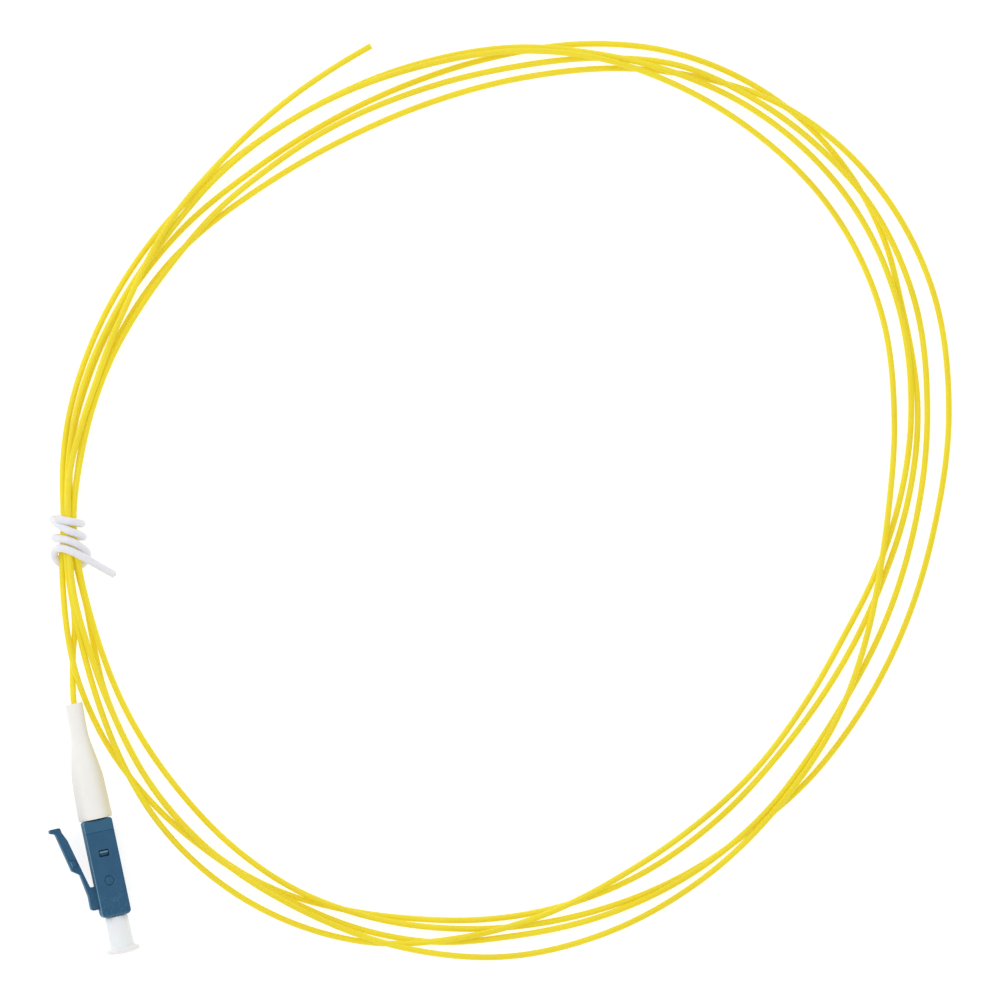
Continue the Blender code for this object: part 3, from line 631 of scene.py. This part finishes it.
def place_mesh(name, shape, material, smooth_angle=35):
    """A piece of the connector from a bmesh in millimetres in the connector's frame."""
    bmesh.ops.recalc_face_normals(shape, faces=shape.faces)
    bmesh.ops.scale(shape, vec=(MM, MM, MM), verts=shape.verts)
    mesh = bpy.data.meshes.new(name)
    shape.to_mesh(mesh)
    shape.free()
    mesh.shade_smooth()
    mesh.set_sharp_from_angle(angle=math.radians(smooth_angle))
    if material:
        mesh.materials.append(material)
    made = bpy.data.objects.new(name, mesh)
    made.matrix_world = CONNECTOR
    bpy.context.collection.objects.link(made)
    return made


def loft(rings, closed=False):
    """Quads between rings of equally many points, with filled ends unless it closes on itself."""
    shape = bmesh.new()
    rows = [[shape.verts.new(point) for point in ring] for ring in rings]
    count = len(rows[0])
    for first, second in zip(rows, rows[1:] + (rows[:1] if closed else [])):
        for k in range(count):
            after = (k + 1) % count
            shape.faces.new((first[k], first[after], second[after], second[k]))
    if not closed:
        shape.faces.new(rows[0])
        shape.faces.new(rows[-1])
    return shape


def circle(radius, z, sides=64, x=0.0):
    """A ring of points at a height z."""
    turns = [2 * math.pi * k / sides for k in range(sides)]
    return [(x + radius * math.cos(a), radius * math.sin(a), z) for a in turns]


def rounded_rectangle(half_width, half_length, corner, steps):
    """An outline of (x, y) points with an arc at each corner."""
    outline = []
    for quarter in range(4):
        middle = math.radians(45 + 90 * quarter)
        centre_x = math.copysign(half_width - corner, math.cos(middle))
        centre_y = math.copysign(half_length - corner, math.sin(middle))
        for k in range(steps + 1):
            turn = math.radians(90 * quarter + 90 * k / steps)
            outline.append((centre_x + corner * math.cos(turn), centre_y + corner * math.sin(turn)))
    return outline


def body_square(half, z):
    """The body's square outline with its rounded corners, at a height z."""
    return [(x, y, z) for x, y in rounded_rectangle(half, half, BODY_CORNER, 6)]


def rounded_outline(points, steps=8):
    """A closed outline of (x, y, corner radius) points with each corner turned into an arc."""
    outline = []
    for k, (x, y, radius) in enumerate(points):
        here = Vector((x, y))
        if radius == 0:
            outline.append(here)
            continue
        back = Vector(points[k - 1][:2]) - here
        ahead = Vector(points[(k + 1) % len(points)][:2]) - here
        reach = radius / math.tan(back.angle(ahead) / 2)
        reach = min(reach, ARC_SHARE * back.length, ARC_SHARE * ahead.length)
        start = here + back.normalized() * reach
        end = here + ahead.normalized() * reach
        for step in range(steps + 1):
            t = step / steps
            outline.append(start * (1 - t) ** 2 + here * 2 * t * (1 - t) + end * t**2)
    return outline


def carved(name, base, joins, cuts, material, edge):
    """A moulding: the base with shapes joined to it and cut from it, and every edge rounded."""
    made = place_mesh(name, base, material)
    helpers = []
    for operation, shapes in (("UNION", joins), ("DIFFERENCE", cuts)):
        for shape in shapes:
            helper = place_mesh("helper", shape, None)
            helpers.append(helper)
            modifier = made.modifiers.new(operation.lower(), "BOOLEAN")
            modifier.operation = operation
            modifier.object = helper
    bpy.context.view_layer.update()
    evaluated = made.evaluated_get(bpy.context.evaluated_depsgraph_get())
    solid = bmesh.new()
    solid.from_mesh(evaluated.to_mesh())
    made.modifiers.clear()
    for helper in helpers:
        bpy.data.objects.remove(helper)
    bmesh.ops.remove_doubles(solid, verts=solid.verts, dist=WELD)
    bmesh.ops.dissolve_limit(solid, angle_limit=FLAT_ANGLE, verts=solid.verts, edges=solid.edges)
    solid.to_mesh(made.data)
    solid.free()
    made.data.shade_smooth()
    bevel = made.modifiers.new("rounded edges", "BEVEL")
    bevel.limit_method = "ANGLE"
    bevel.angle_limit = EDGE_ANGLE
    bevel.width = edge * MM
    bevel.segments = 3
    bevel.miter_outer = "MITER_ARC"
    made.modifiers.new("flat faces stay flat", "WEIGHTED_NORMAL")
    return made


# The lever's outline: distance behind the nose's end, distance outwards from the body's flank, and
# corner radius
LATCH_WIDTH = 2.8
LATCH_OUTLINE = (
    (1.5, -0.3, 0), (1.5, 1.34, 0.45), (3.7, 1.3, 2.0), (7.25, 1.89, 0.6), (8.0, 2.99, 0.3),
    (14.05, 4.34, 0.4), (14.3, 5.15, 0.2), (14.85, 5.1, 0.2), (14.88, 3.49, 0.15),
    (14.1, 3.36, 0.3), (12.8, 2.76, 1.0), (5.0, 0.82, 0.3), (5.0, -0.3, 0),
)  # fmt: skip

# The lever's outer side, as a point and a slope. Then an ear's ends and depth, and how far its top
# lies below that side
LEVER_BEHIND = 8.0
LEVER_OFF = 2.99
LEVER_SLOPE = 0.2231
EAR_FRONT = 8.5
EAR_REAR = 9.62
EAR_DEPTH = 0.88
EAR_BELOW = 0.22

# An ear's sections: distance from the lever's middle, draft, and how far its ramp has run
EAR_SECTIONS = ((1.3, 0, 0), (1.4, 0, 0), (1.85, 0.12, 0.4))

# The window through both flanks and the ring on the upper one: places along the body, and sizes
WINDOW = 5.2
WINDOW_WIDTH = 1.57
WINDOW_LENGTH = 1.05
WINDOW_CORNER = 0.18
MARK = 9.45
MARK_GROOVE = ((0.54, 0.2), (0.86, 0.2), (0.8, -0.13), (0.6, -0.13))

# Radius and height along the housing's bore, the collar's post and sleeve, and the bore through
# them
HOUSING_BORE = ((1.75, -3), (1.75, 13.5), (0.95, 13.5), (0.95, 14.15), (1.5, 14.15), (1.5, 20))
POST_AND_SLEEVE = (
    (1.35, -5), (1.55, -4.8), (1.55, 0.9), (1.6, 0.9), (1.6, 7.0), (1.4, 7.2),
)  # fmt: skip
COLLAR_BORE = ((0.9, -8), (0.9, 12))

# A snap lug's outline: height from the axis, and distance along from the window's middle
LUG_WIDTH = 1.36
LUG_OUTLINE = (
    (1.25, -0.38), (2.08, -0.38), (2.14, -0.08), (1.9, 0.07), (1.8, 0.395), (1.25, 0.395),
)  # fmt: skip


def quarter_round(depth, steps=8):
    """Steps (inward, forward) over a rounding of a depth, from its side to its end."""
    turns = [math.pi / 2 * k / steps for k in range(steps + 1)]
    return [(depth * (1 - math.cos(a)), depth * math.sin(a)) for a in turns]


def latch_lever():
    """The lever that bends down to free the connector, its foot sunk in the body's flank."""
    points = [(-HALF - off, NOSE - behind, radius) for behind, off, radius in LATCH_OUTLINE]
    outline = rounded_outline(points)
    return loft([[(x, y, z) for x, z in outline] for y in (-LATCH_WIDTH / 2, LATCH_WIDTH / 2)])


def latch_ear(side):
    """Locking ear on one flank of the lever: steep at its rear, with a ramp towards the nose."""
    sections = []
    for y, draft, ramp in EAR_SECTIONS:
        front, rear = EAR_FRONT + ramp, EAR_REAR - draft
        top, bottom = draft, EAR_DEPTH - draft
        corners = []
        for behind, below in ((front, top), (front, bottom), (rear, bottom), (rear, top)):
            off = LEVER_OFF + LEVER_SLOPE * (behind - LEVER_BEHIND) - EAR_BELOW - below
            corners.append((-HALF - off, side * y, NOSE - behind))
        sections.append(corners)
    return loft(sections)


def turned_solid(profile, sides=64):
    """A solid turned about z from (radius, z) points along its side."""
    return loft([circle(radius, z, sides) for radius, z in profile])


def mark_groove():
    """A plain ring sunk into the upper flank."""
    rings = []
    for radius, rise in MARK_GROOVE:
        points = circle(radius, 0, 48)
        rings.append([(x, HALF + rise, MARK + y) for x, y, _ in points])
    return loft(rings, closed=True)


def window_cutter():
    """The window, long enough to pass through the body and both its flanks."""
    outline = rounded_rectangle(WINDOW_WIDTH / 2, WINDOW_LENGTH / 2, WINDOW_CORNER, 5)
    return loft([[(x, y, WINDOW + z) for x, z in outline] for y in (-5, 5)])


def front_housing(material):
    """The square body with its lever and ears, bore, window and ring."""
    rings = [body_square(HALF, SEAM)]
    for inward, forward in quarter_round(NOSE_ROUND):
        rings.append(body_square(HALF - inward, NOSE - NOSE_ROUND + forward))
    joins = [latch_lever(), latch_ear(-1), latch_ear(1)]
    cuts = [turned_solid(HOUSING_BORE), window_cutter(), mark_groove()]
    return carved("connector_housing", loft(rings), joins, cuts, material, HOUSING_EDGE)


def snap_lug(side):
    """A lug with a steep rear face and a ramp towards the nose, seen through the window."""
    outline = [(side * height, WINDOW + along) for height, along in LUG_OUTLINE]
    return loft([[(x, y, z) for y, z in outline] for x in (-LUG_WIDTH / 2, LUG_WIDTH / 2)])


def rear_body(material):
    """The collar behind the seam, with its sleeve, snap lugs and the boot's post."""
    rings = []
    for inward, forward in reversed(quarter_round(COLLAR_ROUND)):
        rings.append(body_square(HALF - inward, COLLAR_ROUND - forward))
    rings.append(body_square(HALF, COLLAR))
    joins = [turned_solid(POST_AND_SLEEVE), snap_lug(-1), snap_lug(1)]
    cuts = [turned_solid(COLLAR_BORE, 48)]
    return carved("connector_collar", loft(rings), joins, cuts, material, COLLAR_EDGE)


# The boot's outer radius by distance behind its base, and its hole's from the tip back to its base
BOOT_PROFILE = (
    (0.0, 2.48), (0.06, 2.55), (0.25, 2.58), (1.7, 2.58), (3.1, 2.56), (4.9, 2.5), (6.3, 2.44),
    (7.6, 2.28), (8.9, 2.05), (10.2, 1.82), (11.5, 1.58), (12.8, 1.39), (14.1, 1.33),
    (15.3, 1.32), (16.7, 1.33), (17.5, 1.34), (17.82, 1.33), (17.9, 1.27),
)  # fmt: skip
BOOT_HOLE = (
    (17.8, 0.6), (17.5, 0.56), (14.0, 0.56), (9.0, 0.6), (6.8, 0.62), (5.1, 1.65), (0.0, 1.65),
)  # fmt: skip
BOOT_RING_SPACING = 0.35
BOOT_RINGS = 50


def boot(material):
    """Flexible sleeve over the collar's post, with the fibre's hole through its tip."""
    radius_at = smooth_table(BOOT_PROFILE)
    places = {BOOT_RING_SPACING * k for k in range(1, BOOT_RINGS + 1)}
    places |= {place for place, _ in BOOT_PROFILE}
    skin = [(place, radius_at(place)) for place in sorted(places)]
    rings = []
    for place, radius in [*skin, *BOOT_HOLE]:
        rings.append(circle(radius, -BOOT_GAP - place, x=boot_lean(place + BOOT_GAP) / MM))
    return place_mesh("boot_sleeve", loft(rings, closed=True), material)


# The cap's section, as radius and height: up its bore, out over its pilot and along its outside
CAP_SECTION = (
    (0.725, 18.3), (0.725, 14.4), (0.8, 14.3), (1.3, 14.3), (1.35, 14.36), (1.35, 15.1),
    (1.69, 15.1), (1.74, 15.15), (1.78, 16.6), (1.83, 18.2), (1.88, 19.4), (1.93, 19.8),
    (2.04, 19.96), (2.45, 19.98), (2.54, 20.02), (2.59, 20.12), (2.6, 20.3), (2.57, 20.45),
    (2.48, 20.56), (2.2, 20.68), (1.7, 20.79), (1.0, 20.85),
)  # fmt: skip


def dust_cap(material):
    """Pull-off cap: a pilot in the nose, a slightly flared tube and a round grip flange."""
    return place_mesh("cap_shell", turned_solid(CAP_SECTION), material, smooth_angle=50)


# ---- put together ----
add_camera()
fibre = tube("buffered_fibre", fibre_route(), FIBRE * MM, yellow_jacket(), 4)
steel = drawn_steel()
wire_route = tie_route()
sheath = tube("tie_sheath", wire_route, TIE_SHEATH * MM, tie_plastic(), 5, tie_taper)
core = tube("tie_wire_core", longer_by(wire_route, TIE_CORE_OUT * MM), TIE_CORE * MM, steel, 3)
for piece, slot in ((fibre, "yellow_jacket"), (sheath, "tie_plastic"), (core, "spring_steel")):
    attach(piece, "pigtail")
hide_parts("fibre_coil", "fibre_lead", "fibre_tail")
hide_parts("twist_tie")
boot_middle(BOOT_TIP)

for piece, node, slot, body in (
    (front_housing(blue_housing()), "front_housing", "blue_plastic", "pigtail"),
    (rear_body(blue_collar()), "rear_body", "blue_plastic", "pigtail"),
    (boot(boot_plastic()), "boot", "white_boot", "pigtail"),
    (dust_cap(frosted_plastic()), "dust_cap", "frosted_plastic", "cap"),
):
    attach(piece, body)
    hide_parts(node)

for node, material in (
    ("ferrule", ferrule_ceramic()),
    ("ferrule_flange", turned_nickel()),
    ("spring", steel),
):
    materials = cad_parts[node].data.materials
    materials.clear()
    materials.append(material)


# ---- table and light, in metres and watts ----
TABLE_REACH = 3
SOFTBOX_PLACE = Vector((-0.2, 0.2, 0.36))
SOFTBOX_SIZE = 0.5
SOFTBOX_POWER = 0.52
STUDIO_WHITE = (1, 1, 1, 1)
STUDIO_STRENGTH = 0.8


def add_floor():
    mesh = bpy.data.meshes.new("table_top")
    signs = ((-1, -1), (1, -1), (1, 1), (-1, 1))
    corners = [(TABLE_REACH * x, TABLE_REACH * y, 0) for x, y in signs]
    mesh.from_pydata(corners, [], [(0, 1, 2, 3)])
    mesh.materials.append(floor_white())
    floor = bpy.data.objects.new("table_top", mesh)
    bpy.context.collection.objects.link(floor)


def add_softbox():
    """A square soft light off to one side, facing the middle of the coil."""
    data = bpy.data.lights.new("softbox", "AREA")
    data.size = SOFTBOX_SIZE
    data.energy = SOFTBOX_POWER
    light = bpy.data.objects.new("softbox", data)
    light.location = PHOTO_CENTRE + SOFTBOX_PLACE
    light.rotation_mode = "QUATERNION"
    light.rotation_quaternion = SOFTBOX_PLACE.to_track_quat("Z", "Y")
    light.visible_camera = False
    bpy.context.collection.objects.link(light)


def light_studio():
    """Even white light from all round."""
    world = bpy.data.worlds.new("studio")
    world.use_nodes = True
    background = world.node_tree.nodes["Background"]
    background.inputs["Color"].default_value = STUDIO_WHITE
    background.inputs["Strength"].default_value = STUDIO_STRENGTH
    bpy.context.scene.world = world


add_floor()
add_softbox()
light_studio()
bpy.context.scene.view_settings.view_transform = "Standard"
